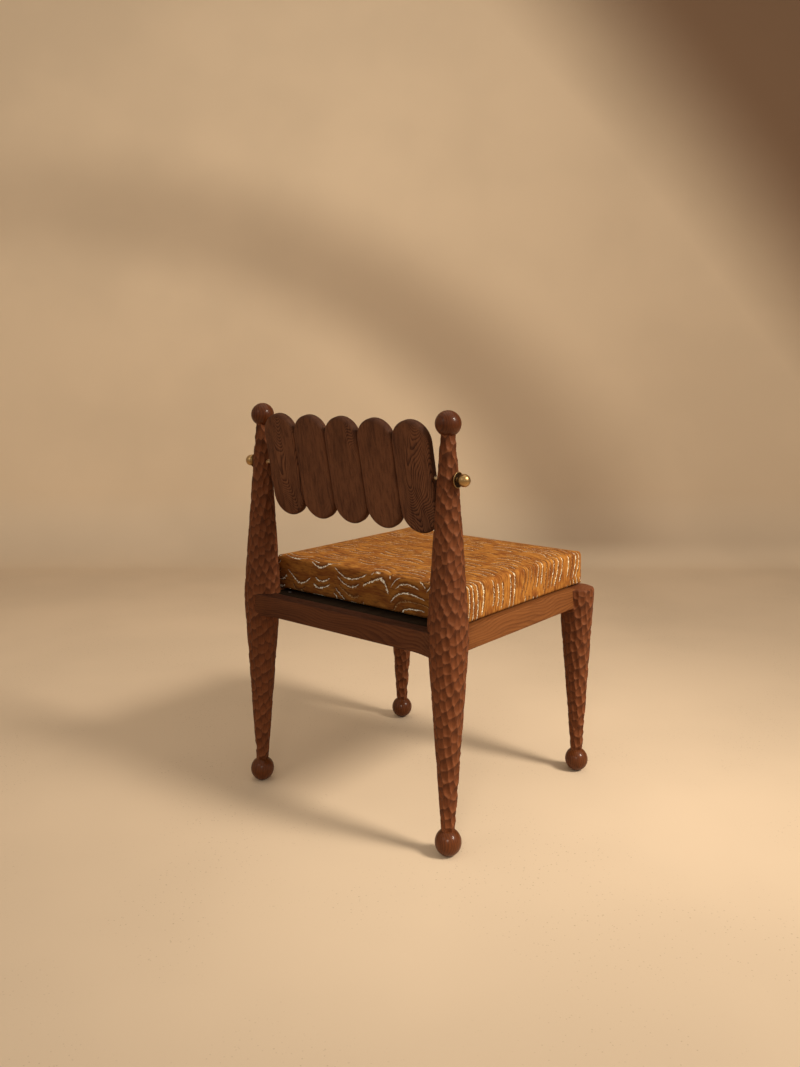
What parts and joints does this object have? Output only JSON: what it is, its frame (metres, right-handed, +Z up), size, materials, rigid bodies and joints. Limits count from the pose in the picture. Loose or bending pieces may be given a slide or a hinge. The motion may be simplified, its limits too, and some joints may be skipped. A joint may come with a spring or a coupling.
{
  "type": "side chair",
  "caption": "Armless dining chair with round carved legs on ball feet, a square box cushion and a tilting slatted back on a brass rod between two tall posts.",
  "frame": {"origin": "on the floor at the centre of the four leg axes", "axes": "+Z up, -Y toward the front of the seat, +X toward the sitter's left"},
  "size_m": [0.596, 0.552, 0.8137],
  "materials": {
    "walnut_carved": "hand gouged, satin oil",
    "walnut_ball": "smooth turned, satin",
    "walnut_rail": "smooth, satin oil",
    "walnut_slat": "smooth, satin oil",
    "brass": "aged satin",
    "steel": "zinc plated",
    "glide": "matte",
    "block_wood": "planed",
    "deck_board": "stained black, matte",
    "grip_tape": "hook and loop",
    "cushion_fabric": "velvety weave with pale yarn lines",
    "cushion_foam": "foam"
  },
  "bodies": {
    "chair_frame": {"rear_post_left": "walnut_carved", "rear_post_right": "walnut_carved", "front_leg_left": "walnut_carved", "front_leg_right": "walnut_carved", "finial_ball_left": "walnut_ball", "finial_ball_right": "walnut_ball", "foot_ball_rear_left": "walnut_ball", "foot_ball_rear_right": "walnut_ball", "foot_ball_front_left": "walnut_ball", "foot_ball_front_right": "walnut_ball", "foot_glide_rear_left": "glide", "foot_glide_rear_right": "glide", "foot_glide_front_left": "glide", "foot_glide_front_right": "glide", "ball_dowel_screws": "steel", "rear_rail": "walnut_rail", "front_rail": "walnut_rail", "side_rail_left": "walnut_rail", "side_rail_right": "walnut_rail", "corner_block_rear_left": "block_wood", "corner_block_rear_right": "block_wood", "corner_block_front_left": "block_wood", "corner_block_front_right": "block_wood", "corner_block_screws": "steel", "seat_deck": "deck_board", "deck_screws": "steel", "grip_strip_left": "grip_tape", "grip_strip_right": "grip_tape", "cushion_cover": "cushion_fabric", "cushion_foam": "cushion_foam", "rod_bushing_left": "brass", "rod_bushing_right": "brass", "rosette_left": "brass", "rosette_right": "brass"},
    "backrest": {"back_slat_1": "walnut_slat", "back_slat_2": "walnut_slat", "back_slat_3": "walnut_slat", "back_slat_4": "walnut_slat", "back_slat_5": "walnut_slat", "slat_dowels": "block_wood", "pivot_rod": "brass"},
    "knob_left": {"ball_knob_left": "brass"},
    "knob_right": {"ball_knob_right": "brass"}
  },
  "joints": [
    {"name": "backrest_tilt", "type": "hinge", "parent": "chair_frame", "child": "backrest", "pos_m": [0, 0.2375, 0.6875], "axis": [1, 0, 0], "range_deg": [-28, 22]},
    {"name": "knob_left_turn", "type": "hinge", "parent": "backrest", "child": "knob_left", "pos_m": [0.2704, 0.2375, 0.6875], "axis": [1, 0, 0], "range_deg": [0, 360]},
    {"name": "knob_right_turn", "type": "hinge", "parent": "backrest", "child": "knob_right", "pos_m": [-0.2704, 0.2375, 0.6875], "axis": [-1, 0, 0], "range_deg": [0, 360]}
  ]
}
